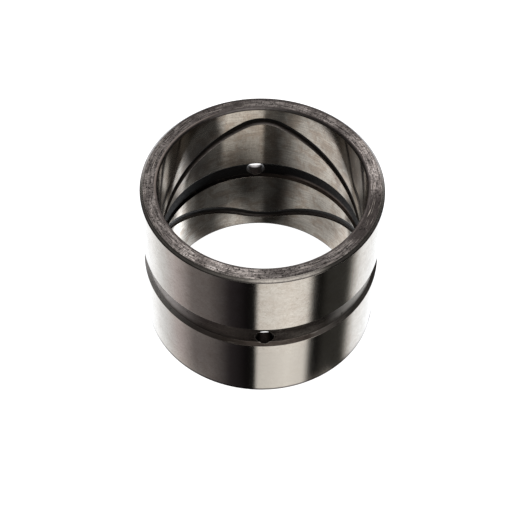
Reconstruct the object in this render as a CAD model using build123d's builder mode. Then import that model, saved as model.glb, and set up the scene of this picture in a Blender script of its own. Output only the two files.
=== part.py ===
"""Steel bushing for a heavy hinge pin: one turned piece with grease grooves inside and out.

Millimetres. The origin is on the bore's axis, at the lower end face, and the oil holes lie along Y.
"""

import os
from math import atan, cos, pi, radians, sin, tan

from build123d import *

# Body
bore_diameter = 90.0
wall_thickness = 7.5
length = 81.0
outside_chamfer = 1.4
bore_edge_radius = 1.3

# Ring groove round the outside, which takes in grease from the housing
outer_ring_width = 12.2  # across its mouth
outer_ring_depth = 1.5
outer_ring_slope = 45.0  # of its side walls, in degrees from the radial direction
outer_ring_edge_break = 0.3
outer_ring_above_middle = 0.8

# Ring groove round the bore
inner_ring_width = 9.4  # across its mouth
inner_ring_depth = 0.9
inner_ring_slope = 60.0
inner_ring_edge_break = 0.2
inner_ring_below_middle = 0.85

# Oil holes, drilled in one pass through both walls
oil_hole_diameter = 8.2
oil_hole_below_middle = 0.3
oil_hole_offset = 0.7  # from the bore's axis, towards -X

# Spreader grooves, which zigzag up and down the bore and cross in the inner ring groove
spreader_tool_radius = 3.2
spreader_depth = 0.85
spreader_turn_radius = 17.0
spreader_corner_inset = 5.8  # from an end face to where two flanks would meet, mean of both ends
spreader_turn_lag = 3.1  # degrees from the oil holes back to the turns
spreader_crossing_below_middle = 0.5

bore_radius = bore_diameter / 2
outside_radius = bore_radius + wall_thickness
middle = length / 2
outer_ring_height = middle + outer_ring_above_middle
inner_ring_height = middle - inner_ring_below_middle
oil_hole_height = middle - oil_hole_below_middle

# The tool's path for one groove, unrolled, is two straight flanks joined by a round turn
path_radius = bore_radius + spreader_depth - spreader_tool_radius
quarter_turn = path_radius * pi / 2
flank_angle = atan((middle - spreader_corner_inset) / quarter_turn)
flank_length = quarter_turn / cos(flank_angle) - spreader_turn_radius * tan(flank_angle)
flank_pitch = 4 * quarter_turn * tan(flank_angle)
flank_rise = flank_length * sin(flank_angle)
crossing_height = middle - spreader_crossing_below_middle
crossing = (0, 0, crossing_height)


def ring_groove(section, mouth_radius, floor_radius, width, slope, height, edge_break):
    """Cut a ring groove with sloping side walls into the half section and break its mouth edges."""
    wall_run = abs(mouth_radius - floor_radius) * tan(radians(slope))
    with BuildLine() as outline:
        Polyline(
            (mouth_radius, height - width / 2),
            (floor_radius, height - width / 2 + wall_run),
            (floor_radius, height + width / 2 - wall_run),
            (mouth_radius, height + width / 2),
            close=True,
        )
    make_face(outline.edges(), mode=Mode.SUBTRACT)
    groove_corners = section.vertices(Select.LAST)
    fillet(groove_corners.filter_by(lambda v: abs(v.X - mouth_radius) < edge_break), edge_break)


# The cut of a round-nosed tool that climbs one helical flank, turns and comes down the other
with BuildPart() as upper_spreader:
    with BuildLine() as tool_path:
        rising = Helix(flank_pitch, flank_rise, path_radius, crossing)
        falling = Helix(
            flank_pitch, flank_rise, path_radius, crossing, lefthand=True, mode=Mode.PRIVATE
        ).rotate(Axis.Z, 180)
        add(falling)
        TangentArc(rising @ 1, falling @ 1, tangent=rising % 1)
    with BuildSketch(Plane(origin=rising @ 0, z_dir=rising % 0)):
        Circle(spreader_tool_radius)
    sweep(path=tool_path.line)

with BuildPart() as lower_spreader:
    mirror(upper_spreader.part, about=Plane.XY.offset(crossing_height))

# The body, turned from its half section, then drilled and grooved
with BuildPart() as bushing:
    with BuildSketch(Plane.XZ) as half_section:
        with Locations(((bore_radius + outside_radius) / 2, middle)):
            Rectangle(wall_thickness, length)
        chamfer(half_section.vertices().group_by(Axis.X)[-1], outside_chamfer)
        fillet(half_section.vertices().group_by(Axis.X)[0], bore_edge_radius)
        ring_groove(
            half_section,
            outside_radius,
            outside_radius - outer_ring_depth,
            outer_ring_width,
            outer_ring_slope,
            outer_ring_height,
            outer_ring_edge_break,
        )
        ring_groove(
            half_section,
            bore_radius,
            bore_radius + inner_ring_depth,
            inner_ring_width,
            inner_ring_slope,
            inner_ring_height,
            inner_ring_edge_break,
        )
    revolve(axis=Axis.Z)
    with BuildSketch(Plane.XZ):
        with Locations((-oil_hole_offset, oil_hole_height)):
            Circle(oil_hole_diameter / 2)
    extrude(amount=outside_radius, both=True, mode=Mode.SUBTRACT)
    with PolarLocations(0, 2, start_angle=-spreader_turn_lag):
        add(upper_spreader.part, mode=Mode.SUBTRACT)
        add(lower_spreader.part, mode=Mode.SUBTRACT)

bushing.part.label = "bushing"
os.makedirs("parts", exist_ok=True)
export_step(bushing.part, "parts/bushing.step")
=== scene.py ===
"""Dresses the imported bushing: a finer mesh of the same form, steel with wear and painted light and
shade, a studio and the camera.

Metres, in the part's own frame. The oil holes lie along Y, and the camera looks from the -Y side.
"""

import math

import bpy
import numpy as np
from mathutils import Matrix, Vector


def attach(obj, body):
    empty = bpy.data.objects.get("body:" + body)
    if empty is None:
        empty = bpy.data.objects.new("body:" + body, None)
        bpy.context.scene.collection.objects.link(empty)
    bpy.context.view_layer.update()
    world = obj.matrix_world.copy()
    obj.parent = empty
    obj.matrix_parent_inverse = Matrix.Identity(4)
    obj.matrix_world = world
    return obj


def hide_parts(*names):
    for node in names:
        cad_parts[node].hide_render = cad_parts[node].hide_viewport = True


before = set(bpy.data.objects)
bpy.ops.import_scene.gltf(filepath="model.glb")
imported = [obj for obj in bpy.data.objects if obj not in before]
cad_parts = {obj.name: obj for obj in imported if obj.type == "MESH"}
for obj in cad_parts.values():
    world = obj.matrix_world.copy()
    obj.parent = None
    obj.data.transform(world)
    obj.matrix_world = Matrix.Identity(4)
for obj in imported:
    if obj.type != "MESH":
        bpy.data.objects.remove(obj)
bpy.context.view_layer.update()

MM = 0.001
TAU = 2 * math.pi

# The part's sizes, in millimetres, as in its source
OUTSIDE_RADIUS = 52.5
BORE_RADIUS = 45.0
LENGTH = 81.0
OUTSIDE_CHAMFER = 1.4
BORE_EDGE = 1.3
OUTER_RING = {"width": 12.2, "depth": 1.5, "slope": 45.0, "height": 41.3, "edge": 0.3}
INNER_RING = {"width": 9.4, "depth": 0.9, "slope": 60.0, "height": 39.65, "edge": 0.2}
HOLE_RADIUS = 4.1
HOLE_HEIGHT = 40.2
HOLE_OFFSET = -0.7
TOOL_RADIUS = 3.2
SPREADER_DEPTH = 0.85
SPREADER_TURN_RADIUS = 17.0
SPREADER_INSET = 5.8
SPREADER_LAG = math.radians(3.1)
CROSSING_HEIGHT = 40.0

# Slight wear of edges and corners that the source leaves sharp
RIM_BREAK = 0.12
OUTER_FLOOR_BREAK = 0.3
INNER_FLOOR_BREAK = 0.2

# How finely the mesh is divided
SEGMENTS = 384
BORE_EDGE_STEPS = 10
BREAK_STEPS = 4
TALLEST_FACE = 9.0
FLANK_POINTS = 56
TURN_POINTS = 26
TOOL_SIDES = 32
DRILL_SIDES = 64
DRILL_REACH = 60.0

# One material each. The turned surfaces come before the holes.
SURFACES = [
    "outside",
    "bore",
    "bore_edge",
    "faces",
    "chamfers",
    "outer_floor",
    "outer_slopes",
    "inner_ring",
    "holes",
    "spreaders",
]


def ring(groove):
    """Heights of a ring groove's lower and upper edges at its mouth, and then at its floor."""
    run = groove["depth"] * math.tan(math.radians(groove["slope"]))
    low, high = groove["height"] - groove["width"] / 2, groove["height"] + groove["width"] / 2
    return low, high, low + run, high - run


def profile():
    """Corner points of the turned section, counter-clockwise from the bore's lower edge.

    Each is (radius, height, fillet, surface from here to the next corner).
    """
    bore, outside, chamfer = BORE_RADIUS, OUTSIDE_RADIUS, OUTSIDE_CHAMFER
    outer_floor, inner_floor = outside - OUTER_RING["depth"], bore + INNER_RING["depth"]
    o_low, o_high, o_floor_low, o_floor_high = ring(OUTER_RING)
    i_low, i_high, i_floor_low, i_floor_high = ring(INNER_RING)
    return [
        (bore, 0, BORE_EDGE, "faces"),
        (outside - chamfer, 0, RIM_BREAK, "chamfers"),
        (outside, chamfer, RIM_BREAK, "outside"),
        (outside, o_low, OUTER_RING["edge"], "outer_slopes"),
        (outer_floor, o_floor_low, OUTER_FLOOR_BREAK, "outer_floor"),
        (outer_floor, o_floor_high, OUTER_FLOOR_BREAK, "outer_slopes"),
        (outside, o_high, OUTER_RING["edge"], "outside"),
        (outside, LENGTH - chamfer, RIM_BREAK, "chamfers"),
        (outside - chamfer, LENGTH, RIM_BREAK, "faces"),
        (bore, LENGTH, BORE_EDGE, "bore"),
        (bore, i_high, INNER_RING["edge"], "inner_ring"),
        (inner_floor, i_floor_high, INNER_FLOOR_BREAK, "inner_ring"),
        (inner_floor, i_floor_low, INNER_FLOOR_BREAK, "inner_ring"),
        (bore, i_low, INNER_RING["edge"], "bore"),
    ]


def rounded(corners):
    """The section as points, outward normals and the surface of the stretch after each point."""
    points, normals, surfaces = [], [], []
    for k, (_, _, radius, surface) in enumerate(corners):
        large = radius == BORE_EDGE
        steps = BORE_EDGE_STEPS if large else BREAK_STEPS
        before = np.array(corners[k - 1][:2], float)
        here = np.array(corners[k][:2], float)
        after = np.array(corners[(k + 1) % len(corners)][:2], float)
        u, v = here - before, after - here
        u, v = u / np.linalg.norm(u), v / np.linalg.norm(v)
        turn = math.atan2(u[0] * v[1] - u[1] * v[0], u @ v)
        reach = radius * math.tan(abs(turn) / 2)
        side = 1 if turn > 0 else -1
        centre = here - u * reach + side * radius * np.array([-u[1], u[0]])
        for s in range(steps + 1):
            c, d = math.cos(turn * s / steps), math.sin(turn * s / steps)
            outward = np.array([u[0] * d + u[1] * c, u[1] * d - u[0] * c])
            points.append(centre + side * radius * outward)
            normals.append(outward)
            if large and s < steps:
                surfaces.append("bore_edge")
            else:
                surfaces.append(surface if s >= steps / 2 else corners[k - 1][3])
    return np.array(points), np.array(normals), surfaces


def divided(points, normals, surfaces):
    """Adds points on the long walls, so that no face is much taller than it is wide."""
    out_p, out_n, out_s = [], [], []
    for k, surface in enumerate(surfaces):
        m = (k + 1) % len(points)
        parts = max(1, math.ceil(np.linalg.norm(points[m] - points[k]) / TALLEST_FACE))
        for j in range(parts):
            out_p.append(points[k] + (points[m] - points[k]) * j / parts)
            out_n.append(normals[k] + (normals[m] - normals[k]) * j / parts)
            out_s.append(surface)
    return np.array(out_p), np.array(out_n), out_s


def placed(name, data):
    made = bpy.data.objects.new(name, data)
    bpy.context.scene.collection.objects.link(made)
    return made


def surfaced(name, points, faces, surface_of_face):
    """An object of points in millimetres, with all the surfaces as its materials."""
    mesh = bpy.data.meshes.new(name)
    mesh.from_pydata([tuple(p) for p in np.array(points) * MM], [], faces)
    for surface in SURFACES:
        mesh.materials.append(bpy.data.materials.get(surface) or bpy.data.materials.new(surface))
    mesh.polygons.foreach_set("material_index", surface_of_face)
    mesh.update()
    return placed(name, mesh)


def turned_body(points, surfaces):
    count = len(points)
    angles = np.arange(SEGMENTS) * TAU / SEGMENTS
    corners = [(r * math.cos(t), r * math.sin(t), z) for t in angles for r, z in points]
    faces, ids = [], []
    for s in range(SEGMENTS):
        a, b = s * count, ((s + 1) % SEGMENTS) * count
        for k in range(count):
            m = (k + 1) % count
            faces.append((a + k, b + k, b + m, a + m))
            ids.append(SURFACES.index(surfaces[k]))
    return surfaced("bushing_steel", corners, faces, ids)


def rod(name, points, sides, surface):
    """A closed rod, with its points ring by ring from one end to the other."""
    last = len(points) - sides
    faces = []
    for start in range(0, last, sides):
        for k in range(sides):
            m = (k + 1) % sides
            faces.append((start + k, start + m, start + sides + m, start + sides + k))
    faces.append(tuple(reversed(range(sides))))
    faces.append(tuple(range(last, last + sides)))
    return surfaced(name, points, faces, [SURFACES.index(surface)] * len(faces))


def drill():
    """What the oil holes' drill takes away, through both walls."""
    angles = TAU * (np.arange(DRILL_SIDES) + 0.5) / DRILL_SIDES
    x = HOLE_OFFSET + HOLE_RADIUS * np.cos(angles)
    z = HOLE_HEIGHT + HOLE_RADIUS * np.sin(angles)
    points = [(a, y, b) for y in (DRILL_REACH, -DRILL_REACH) for a, b in zip(x, z)]
    return rod("drill", points, DRILL_SIDES, "holes")


def spreader_path(lower, start):
    """The tool centre's line for one groove: a helical flank, a round turn and a flank back down."""
    rho = BORE_RADIUS + SPREADER_DEPTH - TOOL_RADIUS
    quarter = rho * math.pi / 2
    angle = math.atan((LENGTH / 2 - SPREADER_INSET) / quarter)
    flank = quarter / math.cos(angle) - SPREADER_TURN_RADIUS * math.tan(angle)
    level, rise = math.cos(angle), flank * math.sin(angle)
    last = flank * level / rho
    angles = np.linspace(0, last, FLANK_POINTS)
    up = [(rho * math.cos(t), rho * math.sin(t), rise * t / last) for t in angles]
    down = [(-x, y, z) for x, y, z in reversed(up)]

    end = np.array(up[-1])
    heading = np.array([-math.sin(last) * level, math.cos(last) * level, math.sin(angle)])
    across = np.array([-1.0, 0.0, 0.0])
    lean = math.acos(heading @ across)
    crown = heading - (heading @ across) * across
    crown /= np.linalg.norm(crown)
    radius = abs(end[0]) / math.sin(lean)
    centre = end * (0, 1, 1) - crown * radius * math.cos(lean)
    turn = [
        tuple(centre + radius * (crown * math.cos(t) + across * math.sin(t)))
        for t in np.linspace(-lean, lean, TURN_POINTS)[1:-1]
    ]

    x, y, z = np.array(up + turn + down).T
    c, s = math.cos(start), math.sin(start)
    return np.stack([x * c - y * s, x * s + y * c, (-z if lower else z) + CROSSING_HEIGHT], 1)


def unit(vectors):
    return vectors / np.linalg.norm(vectors, axis=1)[:, None]


def spreader_tool(name, path):
    """What the round-nosed tool takes away along its path."""
    ahead = unit(np.gradient(path, axis=0))
    out = unit(path * (1, 1, 0))
    out = unit(out - (out * ahead).sum(1)[:, None] * ahead)
    side = np.cross(ahead, out)
    angles = TAU * (np.arange(TOOL_SIDES) + 0.5) / TOOL_SIDES
    points = [
        p + TOOL_RADIUS * (u * math.cos(t) + v * math.sin(t))
        for p, u, v in zip(path, out, side)
        for t in angles
    ]
    return rod(name, points, TOOL_SIDES, "spreaders")


def cut(body, tools):
    for tool in tools:
        change = body.modifiers.new("cut", "BOOLEAN")
        change.operation = "DIFFERENCE"
        change.solver = "EXACT"
        change.object = tool
    evaluated = body.evaluated_get(bpy.context.evaluated_depsgraph_get())
    mesh = bpy.data.meshes.new_from_object(evaluated)
    body.modifiers.clear()
    body.data = mesh
    for tool in tools:
        bpy.data.objects.remove(tool)


def turned_normals(at, middle, points, normals):
    """Normals of the turned form, from the stretch of the section nearest to each face's middle."""
    section = np.stack([np.hypot(middle[:, 0], middle[:, 1]), middle[:, 2]], 1)
    own = np.stack([np.hypot(at[:, 0], at[:, 1]), at[:, 2]], 1)
    next_points, next_normals = np.roll(points, -1, axis=0), np.roll(normals, -1, axis=0)
    best, stretch = np.full(len(section), np.inf), np.zeros(len(section), int)
    for k, (a, d) in enumerate(zip(points, next_points - points)):
        t = np.clip(((section - a) @ d) / (d @ d), 0, 1)
        gap = ((section - a - t[:, None] * d) ** 2).sum(1)
        near = gap < best
        best[near], stretch[near] = gap[near], k
    a, b = points[stretch], next_points[stretch]
    t = np.clip(((own - a) * (b - a)).sum(1) / ((b - a) ** 2).sum(1), 0, 1)[:, None]
    flat = unit(normals[stretch] * (1 - t) + next_normals[stretch] * t)
    around = at[:, :2] / np.hypot(at[:, 0], at[:, 1])[:, None]
    return np.column_stack([around * flat[:, :1], flat[:, 1]])


def nearest_on_line(p, line):
    """The squared distance of each point of p from a polyline, and the nearest point on it."""
    best, nearest = np.full(len(p), np.inf), np.zeros_like(p)
    for a, b in zip(line[:-1], line[1:]):
        d = b - a
        t = np.clip(((p - a) @ d) / (d @ d), 0, 1)
        q = a + t[:, None] * d
        gap = ((p - q) ** 2).sum(1)
        near = gap < best
        best[near], nearest[near] = gap[near], q[near]
    return best, nearest


def milled_normals(at, middle, paths):
    """Normals of the spreader grooves, which point to the line of the tool that cut each face."""
    best, centre = np.full(len(at), np.inf), np.zeros_like(at)
    for path in paths:
        gap = nearest_on_line(middle, path)[0]
        near = gap < best
        best[near], centre[near] = gap[near], nearest_on_line(at, path)[1][near]
    return unit(centre - at)


def read(items, what, kind, width=1):
    values = np.empty(len(items) * width, kind)
    items.foreach_get(what, values)
    return values if width == 1 else values.reshape(-1, width)


def true_normals(body, points, normals, paths):
    """Gives each face corner the normal of the real surface there, not that of the facets."""
    mesh = body.data
    at = read(mesh.vertices, "co", float, 3)[read(mesh.loops, "vertex_index", np.int32)] / MM
    face = np.repeat(np.arange(len(mesh.polygons)), read(mesh.polygons, "loop_total", np.int32))
    middle = read(mesh.polygons, "center", float, 3)[face] / MM
    surface = read(mesh.polygons, "material_index", np.int32)[face]
    turned = surface < SURFACES.index("holes")
    drilled = surface == SURFACES.index("holes")
    milled = surface == SURFACES.index("spreaders")
    result = np.zeros_like(at)
    result[turned] = turned_normals(at[turned], middle[turned], points, normals)
    result[drilled] = unit(np.array([HOLE_OFFSET, 0, HOLE_HEIGHT]) - at[drilled] * (1, 0, 1))
    result[milled] = milled_normals(at[milled], middle[milled], paths)
    mesh.polygons.foreach_set("use_smooth", np.ones(len(mesh.polygons), bool))
    mesh.normals_split_custom_set(result)
    mesh.update()


section_points, section_normals, section_surfaces = divided(*rounded(profile()))
bushing = turned_body(section_points, section_surfaces)
starts = (-SPREADER_LAG, math.pi - SPREADER_LAG)
groove_paths = [spreader_path(lower, start) for start in starts for lower in (False, True)]
tools = [drill()]
tools += [spreader_tool(f"tool_{k}", path) for k, path in enumerate(groove_paths)]
cut(bushing, tools)
true_normals(bushing, section_points, section_normals, groove_paths)
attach(bushing, "root")
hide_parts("bushing")


class Graph:
    """A short way to write a tree of shader nodes."""

    def __init__(self, tree):
        self.tree = tree

    def add(self, kind, sockets=None, **settings):
        node = self.tree.nodes.new("ShaderNode" + kind)
        for key, value in settings.items():
            setattr(node, key, value)
        for key, value in (sockets or {}).items():
            self.put(node.inputs[key], value)
        return node

    def put(self, socket, value):
        if isinstance(value, bpy.types.NodeSocket):
            self.tree.links.new(value, socket)
        else:
            socket.default_value = value

    def math(self, operation, *values, clamp=False):
        node = self.add("Math", operation=operation, use_clamp=clamp)
        for socket, value in zip(node.inputs, values):
            self.put(socket, value)
        return node.outputs[0]

    def vector(self, operation, *values):
        node = self.add("VectorMath", operation=operation)
        for socket, value in zip(node.inputs, values):
            self.put(socket, value)
        return node.outputs["Value" if operation in ("DOT_PRODUCT", "LENGTH") else "Vector"]

    def point(self, x, y, z):
        return self.add("CombineXYZ", {"X": x, "Y": y, "Z": z}).outputs[0]

    def parts(self, vector):
        return self.add("SeparateXYZ", {0: vector}).outputs

    def noise(self, vector, scale=1.0, detail=4.0, roughness=0.6, distortion=0.0):
        sockets = {"Vector": vector, "Scale": scale, "Detail": detail, "Roughness": roughness}
        return self.add("TexNoise", {**sockets, "Distortion": distortion}).outputs["Fac"]

    def span(self, value, low, high, to_low=0.0, to_high=1.0, smooth=False):
        """Where a value lies from low to high, as 0 to 1 or as to_low to to_high."""
        kind = "SMOOTHSTEP" if smooth else "LINEAR"
        sockets = {"Value": value, "From Min": low, "From Max": high, "To Min": to_low, "To Max": to_high}
        return self.add("MapRange", sockets, interpolation_type=kind).outputs[0]

    def scaled(self, colour, share):
        return self.vector("MULTIPLY", colour, self.point(share, share, share))

    def blend(self, factor, a, b, kind="MIX"):
        node = self.add("Mix", data_type="RGBA", blend_type=kind)
        self.put(node.inputs[0], factor)
        for socket, value in ((node.inputs[6], a), (node.inputs[7], b)):
            self.put(socket, value if isinstance(value, bpy.types.NodeSocket) else (*value, 1))
        return node.outputs[2]

    def place(self):
        """The shaded point in millimetres, and its distance from the axis."""
        place = self.vector("MULTIPLY", self.add("TexCoord").outputs["Object"], (1 / MM,) * 3)
        x, y, _ = self.parts(place)
        return place, self.vector("LENGTH", self.point(x, y, 0.0))


# How closely the kinds of marks on the steel are packed, in noise cells to a millimetre
CLOUD_SCALE = 0.11
GRIT_SCALE = 2.6
BLOTCH_SCALE = 0.17
RAGGED_SCALE = 0.5
PIT_SCALE = 0.9
PITTED_SCALE = 0.35

EDGE_WEAR_AND_GLINT_REACH = 0.45  # millimetres from an edge that the wear and the painted edge highlight reach
PATCH_CORE = 0.4  # share of a patch, from its middle, where it shows in full
RELIEF = 0.02  # millimetres between the crests and troughs of the tool marks

# Shades of the steel. TARNISH is laid over another shade and darkens it.
CREAM = (0.64, 0.59, 0.53)
BRIGHT = (0.63, 0.585, 0.52)
DULL = (0.52, 0.47, 0.41)
STAIN = (0.42, 0.37, 0.315)
# A brown laid on the left of the outside as painted shade
PAINTED_SHADE_BROWN = (0.42, 0.37, 0.335)
# Oxide on the faces and chamfers, and painted shade on the rounded bore edge and in patches
OXIDE_AND_SHADE = (0.2, 0.178, 0.168)
BROWN = (0.2, 0.155, 0.125)
BLACK = (0.085, 0.074, 0.07)
# Near black: painted shade on the rounded bore edge, and the darkest mottling on the groove's slopes
NEAR_BLACK = (0.03, 0.026, 0.024)
TARNISH = (0.78, 0.72, 0.68)


def patch_share(g, ux, uy, level, bearing, spread, middle, reach):
    """How much a patch of painted light and shade shows: 1 near its middle, and less towards its ends and
    its edges.
    """
    off = g.math("ABSOLUTE", g.math("SUBTRACT", level, middle))
    share = g.span(off, reach, PATCH_CORE * reach, smooth=True)
    if spread < 180:
        b, s = math.radians(bearing), math.radians(spread)
        toward = g.math("MULTIPLY_ADD", ux, math.cos(b), g.math("MULTIPLY", uy, math.sin(b)))
        along = g.span(toward, math.cos(s), math.cos(PATCH_CORE * s), smooth=True)
        share = g.math("MULTIPLY", share, along)
    return share


def steel(
    name,
    colours,
    roughness,
    lines,
    bump,
    edge_wear_and_glint,
    anisotropy=0.0,
    cloud=0.5,
    mottle=0.5,
    rays=0.0,
    scratches=0.0,
    pits=0.0,
    grain=0.85,
    grit=0.08,
    sharp=0.15,
    blotch=0.0,
    painted_upward_light=None,
    patches=(),
):
    """Turned or ground steel. colours are its clean, dull and stained shades.

    lines are the tool marks that run round the axis: how often they break, how many there are to
    a millimetre, and how much they show. rays are short streaks across them. cloud is how much of
    the dull shade shows and mottle how much of the stained one. grain is how fine the mottling is,
    sharp is how soft its edges are, and grit is a finer grain over it. blotch is how much patches
    of a few millimetres are tarnished. edge_wear_and_glint is how much the edges are rubbed bright
    and painted with a highlight. painted_upward_light is the shade of the side of a groove that
    faces up, painted lighter where light falls on it. Each of patches, which paint light and shade
    in, is a bearing and half its spread, a height (a radius on the faces and in the holes) and its
    reach, how much it shows, and its shade or, as one number, how many times lighter it is.
    """
    material = bpy.data.materials[name]
    material.use_nodes = True
    g = Graph(material.node_tree)
    shader = material.node_tree.nodes["Principled BSDF"]
    place, radius = g.place()
    x, y, z = g.parts(place)
    ux, uy = g.math("DIVIDE", x, radius), g.math("DIVIDE", y, radius)
    along = g.math("MULTIPLY_ADD", z, 1.7, radius)
    level = radius if name in ("faces", "holes") else z

    def rounds(breaks, fineness):
        """A place for noise that is drawn out round the axis."""
        x_y = g.math("MULTIPLY", ux, breaks), g.math("MULTIPLY", uy, breaks)
        return g.point(*x_y, g.math("MULTIPLY", along, fineness))

    # Tool marks, clouds and mottling
    breaks, fineness, shown = lines
    marks = g.noise(rounds(breaks, fineness), 1, 3, 0.7)
    streaks = g.noise(rounds(16, 0.9), 1, 4, 0.65)
    broad = g.noise(place, CLOUD_SCALE, 4, 0.6)
    small = g.noise(place, grain, 6, 0.72)
    cloudy = g.math("MULTIPLY_ADD", streaks, 0.6, g.math("MULTIPLY", broad, 0.8))
    cloudy = g.span(cloudy, 0.5, 0.95, smooth=True)
    speckled = g.span(small, 0.57 - sharp, 0.57 + sharp, smooth=True)
    colour = g.blend(g.math("MULTIPLY", cloudy, cloud), colours[0], colours[1])
    colour = g.blend(g.math("MULTIPLY", speckled, mottle), colour, colours[2])
    colour = g.scaled(colour, g.span(marks, 0.35, 0.7, 1 - shown, 1 + shown * 0.4))
    colour = g.scaled(colour, g.span(g.noise(place, GRIT_SCALE, 2, 0.6), 0.3, 0.7, 1 - grit, 1 + grit))
    height = g.math("MULTIPLY_ADD", marks, RELIEF, g.math("MULTIPLY", small, 0.6 * RELIEF))
    rough = g.math("MULTIPLY_ADD", speckled, 0.5 * roughness * mottle, roughness)
    rough = g.math("MULTIPLY_ADD", cloudy, 0.4 * roughness * cloud, rough)
    if blotch:
        stained = g.span(g.noise(place, BLOTCH_SCALE, 5, 0.64, 0.5), 0.42, 0.62, smooth=True)
        tarnished = g.blend(1.0, colour, TARNISH, "MULTIPLY")
        colour = g.blend(g.math("MULTIPLY", stained, blotch), colour, tarnished)
    if rays:
        across = g.noise(rounds(80, 0.25), 1, 3, 0.7)
        colour = g.scaled(colour, g.span(across, 0.34, 0.66, 1 - rays, 1 + rays))
        height = g.math("MULTIPLY_ADD", across, RELIEF * rays, height)

    # Painted light and shade: the side facing up, and patches lighter or darker by bearing and height
    # Painted light: the side of a groove that faces up is painted lighter, as if lit from above
    if painted_upward_light:
        facing = g.parts(g.add("TexCoord").outputs["Normal"])["Z"]
        lit = g.span(facing, 0.15, 0.6, smooth=True)
        lit = g.math("MULTIPLY", lit, g.span(marks, 0.3, 0.6, 0.35, 1.0))
        colour = g.blend(lit, colour, painted_upward_light)
    # Each patch paints a stretch of light or shade into the colour
    if patches:
        ragged = g.span(g.noise(place, RAGGED_SCALE, 5, 0.75), 0.22, 0.46, smooth=True)
    for bearing, spread, middle, reach, amount, shade in patches:
        share = patch_share(g, ux, uy, level, bearing, spread, middle, reach)
        share = g.math("MULTIPLY", g.math("MULTIPLY", ragged, amount), share)
        if isinstance(shade, float):
            colour = g.scaled(colour, g.math("MULTIPLY_ADD", share, shade - 1, 1.0))
        else:
            colour = g.blend(share, colour, shade)

    # Damage and wear, and painted highlights along the edges
    if scratches:
        fine = g.noise(rounds(5, 3.2), 1, 1, 0.5)
        scratch = g.math("MULTIPLY", g.span(fine, 0.66, 0.72, smooth=True), scratches)
        colour = g.blend(scratch, colour, CREAM)
        rough = g.math("MULTIPLY_ADD", scratch, -0.3 * roughness, rough)
    if pits:
        sockets = {"Vector": place, "Scale": PIT_SCALE, "Randomness": 1.0}
        cells = g.add("TexVoronoi", sockets).outputs["Distance"]
        chance = g.span(g.noise(place, PITTED_SCALE, 2, 0.5), 0.5, 0.62, smooth=True)
        pit = g.span(g.math("SUBTRACT", g.math("MULTIPLY", chance, 0.34), cells), 0.0, 0.12)
        pit = g.math("MULTIPLY", pit, pits, clamp=True)
        colour = g.blend(pit, colour, tuple(0.25 * c for c in colours[2]))
        height = g.math("MULTIPLY_ADD", pit, -6 * RELIEF, height)
    # Rubbed edges, which this also paints with a light highlight line
    if edge_wear_and_glint:
        soft = g.add("Bevel", {"Radius": EDGE_WEAR_AND_GLINT_REACH * MM}, samples=6).outputs[0]
        true = g.add("NewGeometry").outputs["Normal"]
        edge = g.span(g.vector("DOT_PRODUCT", soft, true), 0.998, 0.93, smooth=True)
        patchy = g.span(g.noise(place, RAGGED_SCALE, 4, 0.7), 0.35, 0.6, 0.25, 1.0)
        edge = g.math("MULTIPLY", g.math("MULTIPLY", edge, patchy), edge_wear_and_glint)
        colour = g.blend(edge, colour, CREAM)
        rough = g.math("MULTIPLY_ADD", edge, 0.45, rough)

    g.put(shader.inputs["Base Color"], colour)
    g.put(shader.inputs["Roughness"], rough)
    shader.inputs["Metallic"].default_value = 1.0
    if anisotropy:
        shader.inputs["Anisotropic"].default_value = anisotropy
        shader.inputs["Anisotropic Rotation"].default_value = 0.25
        g.put(shader.inputs["Tangent"], g.add("Tangent", direction_type="RADIAL", axis="Z").outputs[0])
    sockets = {"Strength": bump, "Distance": MM, "Height": height}
    g.put(shader.inputs["Normal"], g.add("Bump", sockets).outputs[0])


steel(
    "outside",
    (BRIGHT, DULL, STAIN),
    roughness=0.08,
    anisotropy=0.5,
    cloud=0.6,
    mottle=0.6,
    lines=(40, 5, 0.1),
    bump=0.25,
    edge_wear_and_glint=0.8,
    blotch=0.35,
    # Painted light and shade: the first patch paints the lower front of the wall dimmer, the next two
    # paint shade on its left, and the last paints a dark shadow line along its foot
    patches=[
        (-83, 32, 17, 24, 0.85, (0.5, 0.462, 0.407)),
        (-128, 26, 62, 18, 0.22, PAINTED_SHADE_BROWN),
        (-134, 26, 22, 14, 0.3, PAINTED_SHADE_BROWN),
        (0, 180, 1.6, 1.2, 1.0, BLACK),
    ],
)
steel(
    "bore",
    (BRIGHT, DULL, STAIN),
    roughness=0.075,
    anisotropy=0.5,
    cloud=0.6,
    mottle=0.35,
    lines=(7, 1.3, 0.3),
    rays=0.1,
    bump=0.3,
    edge_wear_and_glint=0.6,
    grit=0.05,
    sharp=0.22,
    blotch=1.0,
    # Painted shade: these patches darken stretches of the bore where it mirrors darker light
    patches=[
        (20, 21, 75, 21, 1.0, (0.1, 0.088, 0.08)),
        (44, 10, 62, 10, 0.3, BROWN),
        (62, 12, 44, 8, 0.2, BROWN),
        (130, 12, 58, 14, 0.5, OXIDE_AND_SHADE),
    ],
)
steel(
    "bore_edge",
    # Near-black shades: painted dark reflection on the rounded bore edge
    (OXIDE_AND_SHADE, BLACK, NEAR_BLACK),
    roughness=0.3,
    anisotropy=0.5,
    lines=(22, 4, 0.2),
    bump=0.2,
    edge_wear_and_glint=0.0,
    # Painted highlight: a lighter band along the edge at the back
    patches=[(150, 44, 80.95, 0.35, 0.8, (0.4, 0.35, 0.31))],
)
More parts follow.
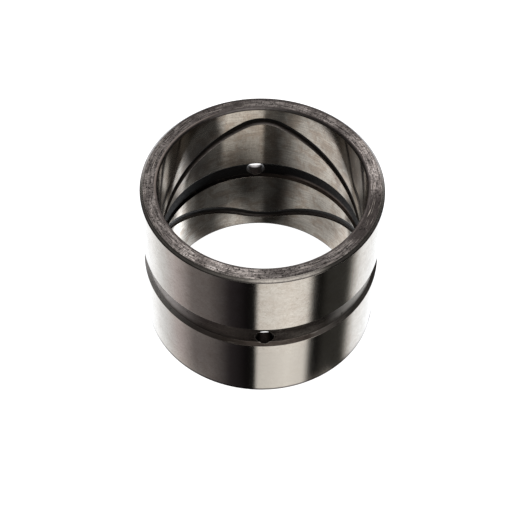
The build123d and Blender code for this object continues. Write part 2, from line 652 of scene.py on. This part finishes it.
steel(
    "faces",
    ((0.52, 0.485, 0.455), OXIDE_AND_SHADE, BLACK),
    roughness=0.36,
    anisotropy=0.6,
    cloud=1.0,
    mottle=1.0,
    lines=(6, 2.4, 0.85),
    rays=0.3,
    scratches=0.9,
    pits=1.0,
    bump=0.8,
    edge_wear_and_glint=0.7,
    grain=1.2,
    grit=0.25,
    sharp=0.05,
    # Painted reflection: the dark and the lighter patches paint the turned face's light and dark lobes,
    # and the one at radius 51.8 paints a dark band along its outer edge at the back
    patches=[
        (-26, 22, 49, 6, 0.95, BLACK),
        (113, 26, 49, 6, 0.75, BLACK),
        (85, 70, 51.8, 2.6, 1.0, BLACK),
        (-118, 30, 49, 6, 1.0, 2.0),
        (12, 24, 49, 6, 1.0, 1.9),
        (48, 30, 49, 6, 1.0, 1.3),
    ],
)
steel(
    "chamfers",
    ((0.6, 0.55, 0.49), (0.4, 0.36, 0.32), OXIDE_AND_SHADE),
    roughness=0.2,
    anisotropy=0.5,
    mottle=0.6,
    lines=(12, 4, 0.3),
    bump=0.3,
    edge_wear_and_glint=0.7,
    # Painted shade: dark bands and lines along the chamfers, all round and wider at the back, and along
    # the foot
    patches=[
        (0, 180, 80.75, 0.22, 0.7, OXIDE_AND_SHADE),
        (0, 180, 79.5, 0.65, 1.0, BLACK),
        (0, 180, 0.6, 1.4, 0.9, BLACK),
        (86, 100, 80.3, 1.4, 1.0, BLACK),
    ],
)
steel(
    "outer_floor",
    ((0.04, 0.031, 0.026), (0.026, 0.02, 0.016), (0.012, 0.0095, 0.008)),
    roughness=0.5,
    anisotropy=0.4,
    cloud=1.0,
    mottle=1.0,
    lines=(10, 2.6, 0.6),
    rays=0.3,
    scratches=0.25,
    bump=0.8,
    edge_wear_and_glint=0.25,
    grain=1.2,
    grit=0.3,
    sharp=0.05,
    # Painted reflection: these patches light the groove's floor towards its sides, where it catches light
    # at a glancing angle
    patches=[
        (-125, 30, 43, 8, 0.55, (0.2, 0.165, 0.145)),
        (-64, 20, 38.5, 4, 0.4, (0.12, 0.105, 0.09)),
        (-20, 40, 43.5, 8, 1.0, (0.8, 0.76, 0.71)),
        (-180, 60, 43.5, 8, 1.0, (0.8, 0.76, 0.71)),
    ],
)
steel(
    "outer_slopes",
    ((0.06, 0.046, 0.038), (0.03, 0.023, 0.019), NEAR_BLACK),
    roughness=0.34,
    anisotropy=0.4,
    cloud=0.8,
    mottle=1.0,
    lines=(10, 2.6, 0.5),
    scratches=0.3,
    bump=0.8,
    edge_wear_and_glint=1.0,
    grain=1.2,
    grit=0.3,
    sharp=0.08,
    # Painted light on the slope that faces up
    painted_upward_light=(0.085, 0.068, 0.058),
    # Painted reflection: these patches lighten the slopes towards the groove's sides
    patches=[
        (-134, 24, 36, 2.5, 0.6, (0.2, 0.17, 0.155)),
        (-44, 26, 36, 2.5, 0.7, (0.3, 0.27, 0.245)),
        (-180, 56, 41, 12, 1.0, (0.78, 0.74, 0.69)),
    ],
)
steel(
    "inner_ring",
    ((0.01, 0.008, 0.0075), (0.007, 0.006, 0.006), (0.004, 0.0035, 0.0035)),
    roughness=0.34,
    anisotropy=0.4,
    cloud=0.8,
    mottle=0.9,
    lines=(10, 2.6, 0.5),
    bump=0.6,
    edge_wear_and_glint=0.3,
    grit=0.3,
    # Painted light on the slope that faces up
    painted_upward_light=(0.11, 0.088, 0.074),
    # Painted shade and light: the first patch darkens part of the lower slope, and the second lightens
    # another part
    patches=[
        (122, 60, 35.6, 2.2, 0.95, (0.006, 0.005, 0.005)),
        (46, 30, 36, 2.2, 0.75, (0.21, 0.17, 0.15)),
    ],
)
steel(
    "holes",
    # Near-black shades: painted shade inside the drilled holes
    ((0.016, 0.013, 0.012), (0.01, 0.008, 0.008), (0.06, 0.048, 0.04)),
    roughness=0.3,
    mottle=0.9,
    lines=(24, 3, 0.3),
    bump=0.6,
    edge_wear_and_glint=0.0,
    grain=1.6,
    grit=0.3,
    sharp=0.07,
    # Painted reflection: a light half moon at the outer end of the far hole's wall
    patches=[(90, 40, 52.6, 3.2, 1.0, (0.95, 0.95, 0.95))],
)
steel(
    "spreaders",
    ((0.022, 0.019, 0.017), (0.015, 0.013, 0.012), (0.01, 0.009, 0.008)),
    roughness=0.34,
    lines=(10, 2, 0.4),
    bump=0.6,
    edge_wear_and_glint=0.5,
    # Painted light on the side of the grooves that faces up
    painted_upward_light=(0.15, 0.13, 0.12),
)

# The floor, which glows so that it stays plain and pale
FLOOR_REACH = 3  # metres
corners = [(-FLOOR_REACH, -FLOOR_REACH, 0), (FLOOR_REACH, -FLOOR_REACH, 0)]
corners += [(FLOOR_REACH, FLOOR_REACH, 0), (-FLOOR_REACH, FLOOR_REACH, 0)]
floor_mesh = bpy.data.meshes.new("floor")
floor_mesh.from_pydata(corners, [], [(0, 1, 2, 3)])
floor = placed("floor", floor_mesh)
floor.visible_glossy = False
paper = bpy.data.materials.new("paper")
paper.use_nodes = True
glow = paper.node_tree.nodes["Principled BSDF"]
glow.inputs["Base Color"].default_value = (0.9, 0.9, 0.9, 1)
glow.inputs["Emission Color"].default_value = (1, 1, 1, 1)
glow.inputs["Emission Strength"].default_value = 1.0
floor_mesh.materials.append(paper)

# Studio: soft bright and dark panels all round. Each is its bearing in degrees from the studio's
# front, its light and its tint, and a panel's light fades into the next one's. The low panels
# are those that a surface mirrors from below the horizon.
FRONT = math.radians(-93.45)
HORIZON = (-0.35, -0.05)
PLAIN, COOL, GREYED, WARM = (1, 1, 1), (0.96, 1, 1.05), (1.07, 1, 1.04), (1, 1, 0.95)
AMBER, DUSTY, MAUVE = (1.03, 1, 0.96), (1.05, 1, 1), (1.12, 1, 1.14)
LOW_PANELS = [
    (-180, 1.5, COOL),
    (-130, 1.4, COOL),
    (-112, 1.02, COOL),
    (-90, 0.6, GREYED),
    (-70, 0.21, GREYED),
    (-52, 0.17, GREYED),
    (-30, 0.03, MAUVE),
    (-12, 0.006, MAUVE),
    (-4, 0.015, PLAIN),
    (-1, 0.95, PLAIN),
    (30, 1.22, PLAIN),
    (47, 1.08, PLAIN),
    (54, 0.06, PLAIN),
    (60, 0.006, WARM),
    (70, 0.04, WARM),
    (92, 0.045, WARM),
    (97, 0.13, WARM),
    (104, 0.68, PLAIN),
    (113, 1.3, COOL),
    (180, 1.5, COOL),
]
HIGH_PANELS = [
    (-180, 0.72, DUSTY),
    (-145, 0.7, DUSTY),
    (-128, 0.1, PLAIN),
    (-60, 0.08, PLAIN),
    (-8, 0.28, PLAIN),
    (0, 1.15, PLAIN),
    (42, 1.1, PLAIN),
    (54, 0.05, PLAIN),
    (128, 0.1, PLAIN),
    (145, 0.7, DUSTY),
    (180, 0.72, DUSTY),
]


def from_front(g, vector):
    """The bearing from the studio's front, as 0 to 1 for -180 to 180 degrees, and the Z of a vector."""
    turn = g.add("VectorRotate", {"Vector": vector, "Angle": -FRONT}, rotation_type="Z_AXIS")
    x, y, z = g.parts(turn.outputs[0])
    return g.span(g.math("ARCTAN2", y, x), -math.pi, math.pi), z


def panels(g, bearing, stops):
    ramp = g.add("ValToRGB", {"Fac": bearing})
    elements = ramp.color_ramp.elements
    while len(elements) < len(stops):
        elements.new(0.5)
    for element, (degrees, value, tint) in zip(elements, stops):
        element.position = (degrees + 180) / 360
        element.color = (*(value * t for t in tint), 1)
    return ramp.outputs[0]


world = bpy.data.worlds.new("studio")
bpy.context.scene.world = world
world.use_nodes = True
world.node_tree.nodes.clear()
g = Graph(world.node_tree)
bearing, z = from_front(g, g.add("TexCoord").outputs["Generated"])
rise = g.span(z, *HORIZON, smooth=True)
light = g.blend(rise, panels(g, bearing, LOW_PANELS), panels(g, bearing, HIGH_PANELS))
background = g.add("Background", {"Color": light})
g.put(g.add("OutputWorld").inputs[0], background.outputs[0])

# Two cards under the bore, which only the steel mirrors: a disc, and a collar above its rim that
# lights the upper part of the bore. Both stay out of the outside's view. Millimetres and degrees.
DISC_DROP, DISC_RADIUS, DISC_CORNERS = 60, 88, 120
COLLAR_DROP, COLLAR_BORE, COLLAR_RADIUS, COLLAR_CORNERS = 15, 42, 56, 96

# The disc draws in by this much at the bearing of its waist, on both sides, and not at all in
# front of the waist's start and behind its end
DISC_WAIST = 19
WAIST_START, WAIST, WAIST_END = 60, 127, 140

# Radii between which the disc's light fades from one ring of panels to the next
TO_INNER, TO_OUTER, TO_RIM = (16, 30), (42, 56), (56, 82)

# The share of its light that the disc's rim loses at its back, and where that sets in: at what
# part of a whole turn from the front, and at what radius
BACK_DIMMING, BACK_TURNS, BACK_RIM = 0.75, (0.4, 0.43), (59, 64)

# Bearings are scaled by this before the disc's outer panels are looked up, and by more at each
# millimetre of radius
LEAN, LEAN_PER_MM = 0.8, 0.0033

CENTRE_DISC = [
    (-180, 0.2, PLAIN),
    (-100, 0.3, PLAIN),
    (-78, 0.14, PLAIN),
    (-60, 0.045, PLAIN),
    (-40, 0.02, PLAIN),
    (-8, 0.03, PLAIN),
    (6, 0.17, PLAIN),
    (44, 0.22, PLAIN),
    (58, 0.55, PLAIN),
    (72, 0.8, PLAIN),
    (100, 0.75, PLAIN),
    (116, 0.15, PLAIN),
]
INNER_DISC = [
    (-180, 0.3, PLAIN),
    (-160, 1.2, PLAIN),
    (-140, 0.56, PLAIN),
    (-105, 0.48, PLAIN),
    (-78, 0.6, PLAIN),
    (-62, 0.28, PLAIN),
    (-44, 0.065, PLAIN),
    (-32, 0.022, PLAIN),
    (0, 0.06, PLAIN),
    (34, 0.03, PLAIN),
    (65, 0.14, PLAIN),
    (92, 0.09, PLAIN),
    (128, 0.08, PLAIN),
    (140, 0.16, PLAIN),
    (152, 0.85, COOL),
    (164, 1.2, COOL),
]
OUTER_DISC = [
    (-180, 0.3, PLAIN),
    (-158, 1.25, PLAIN),
    (-130, 0.76, PLAIN),
    (-102, 0.72, PLAIN),
    (-72, 0.7, PLAIN),
    (-56, 0.46, PLAIN),
    (-40, 0.2, PLAIN),
    (-22, 0.045, PLAIN),
    (-2, 0.06, AMBER),
    (3, 0.33, AMBER),
    (16, 0.25, AMBER),
    (32, 0.13, AMBER),
    (58, 0.14, AMBER),
    (68, 0.08, PLAIN),
    (108, 0.055, PLAIN),
    (130, 0.27, PLAIN),
    (154, 3.0, COOL),
]
RIM_DISC = [
    (-180, 0.2, PLAIN),
    (-130, 1.1, PLAIN),
    (-102, 1.3, PLAIN),
    (-72, 0.8, PLAIN),
    (-56, 0.64, PLAIN),
    (-40, 0.25, PLAIN),
    (-22, 0.07, PLAIN),
    (-2, 0.1, AMBER),
    (3, 0.85, AMBER),
    (14, 0.8, AMBER),
    (58, 0.68, AMBER),
    (65, 0.12, PLAIN),
    (108, 0.08, PLAIN),
    (130, 0.25, PLAIN),
    (154, 2.0, COOL),
]
COLLAR = [
    (-180, 0.12, PLAIN),
    (-171, 0.25, PLAIN),
    (-160, 1.0, PLAIN),
    (-104, 0.95, PLAIN),
    (-70, 0.8, PLAIN),
    (-48, 0.32, PLAIN),
    (-30, 0.09, PLAIN),
    (-3, 0.15, AMBER),
    (3, 0.72, AMBER),
    (30, 1.0, AMBER),
    (58, 0.9, AMBER),
    (68, 0.55, PLAIN),
    (76, 0.06, PLAIN),
    (110, 0.062, PLAIN),
    (130, 0.075, PLAIN),
    (150, 0.95, COOL),
    (162, 1.1, COOL),
    (171, 0.25, PLAIN),
]


def card(name, drop, outlines, corners, light_at):
    """A level card that glows. outlines give the radii of its edges, inner first, by bearing."""
    turns = (np.arange(corners) + 0.5) * TAU / corners - math.pi
    vertices = []
    for outline in outlines:
        for t in turns:
            r = outline(math.degrees(t)) * MM
            vertices.append((r * math.cos(t + FRONT), r * math.sin(t + FRONT), -drop * MM))
    if len(outlines) == 1:
        faces = [tuple(range(corners))]
    else:
        around = [(k, (k + 1) % corners) for k in range(corners)]
        faces = [(a, b, b + corners, a + corners) for a, b in around]
    mesh = bpy.data.meshes.new(name)
    mesh.from_pydata(vertices, [], faces)
    made = placed(name, mesh)
    made.visible_camera = made.visible_diffuse = made.visible_transmission = made.visible_shadow = False
    material = bpy.data.materials.new(name)
    material.use_nodes = True
    material.node_tree.nodes.clear()
    mesh.materials.append(material)
    g = Graph(material.node_tree)
    place, radius = g.place()
    light = light_at(g, from_front(g, place)[0], radius)
    g.put(g.add("OutputMaterial").inputs[0], g.add("Emission", {"Color": light}).outputs[0])


def disc_outline(degrees):
    off = abs(degrees)
    if off < WAIST:
        share = max(0, off - WAIST_START) / (WAIST - WAIST_START)
    else:
        share = max(0, WAIST_END - off) / (WAIST_END - WAIST)
    return DISC_RADIUS - DISC_WAIST * share


def disc_light(g, bearing, radius):
    """Its outer panels lean back, so that what the bore mirrors stands upright. Its back rim is dim."""
    turned = g.math("SUBTRACT", bearing, 0.5)
    lean = g.math("MULTIPLY_ADD", radius, LEAN_PER_MM, LEAN)
    leaning = g.math("MULTIPLY_ADD", turned, lean, 0.5)
    light = panels(g, bearing, CENTRE_DISC)
    light = g.blend(g.span(radius, *TO_INNER), light, panels(g, bearing, INNER_DISC))
    light = g.blend(g.span(radius, *TO_OUTER, smooth=True), light, panels(g, leaning, OUTER_DISC))
    light = g.blend(g.span(radius, *TO_RIM, smooth=True), light, panels(g, leaning, RIM_DISC))
    back = g.span(g.math("ABSOLUTE", turned), *BACK_TURNS, smooth=True)
    dimmed = g.math("MULTIPLY", back, g.span(radius, *BACK_RIM, 0, BACK_DIMMING))
    return g.scaled(light, g.math("SUBTRACT", 1.0, dimmed))


def collar_light(g, bearing, radius):
    return panels(g, bearing, COLLAR)


collar_outlines = [lambda degrees: COLLAR_BORE, lambda degrees: COLLAR_RADIUS]
card("disc", DISC_DROP, [disc_outline], DISC_CORNERS, disc_light)
card("collar", COLLAR_DROP, collar_outlines, COLLAR_CORNERS, collar_light)

# The camera, as fitted to the photograph: its distance in millimetres, angles in radians, and
# the target and the lens in pixels of the picture
PICTURE = 520
SENSOR = 36
LENS_PIXELS = 1432.22
ELEVATION, ROLL, DISTANCE = 0.9034, 0.0222, 12.2525 * OUTSIDE_RADIUS
TARGET_X, TARGET_Y = 261.1504, 243.6364
TURN = math.radians(-3.4)
forward = Vector((0, math.cos(ELEVATION), -math.sin(ELEVATION)))
right = Vector((1, 0, 0))
up = right.cross(forward)
right_rolled = right * math.cos(ROLL) + up * math.sin(ROLL)
up_rolled = -right * math.sin(ROLL) + up * math.cos(ROLL)
centre = Vector((0, 0, LENGTH / 2)) - forward * DISTANCE
centre -= right_rolled * ((TARGET_X - PICTURE / 2) / LENS_PIXELS * DISTANCE)
centre += up_rolled * ((TARGET_Y - PICTURE / 2) / LENS_PIXELS * DISTANCE)
axes = Matrix((right_rolled, up_rolled, -forward)).transposed().to_4x4()
axes.translation = centre * MM
camera_data = bpy.data.cameras.new("camera")
camera_data.sensor_fit = "HORIZONTAL"
camera_data.sensor_width = SENSOR
camera_data.lens = LENS_PIXELS * SENSOR / PICTURE
camera = placed("camera", camera_data)
camera.matrix_world = Matrix.Rotation(TURN, 4, "Z") @ axes
bpy.context.scene.camera = camera
bpy.context.scene.view_settings.view_transform = "Standard"
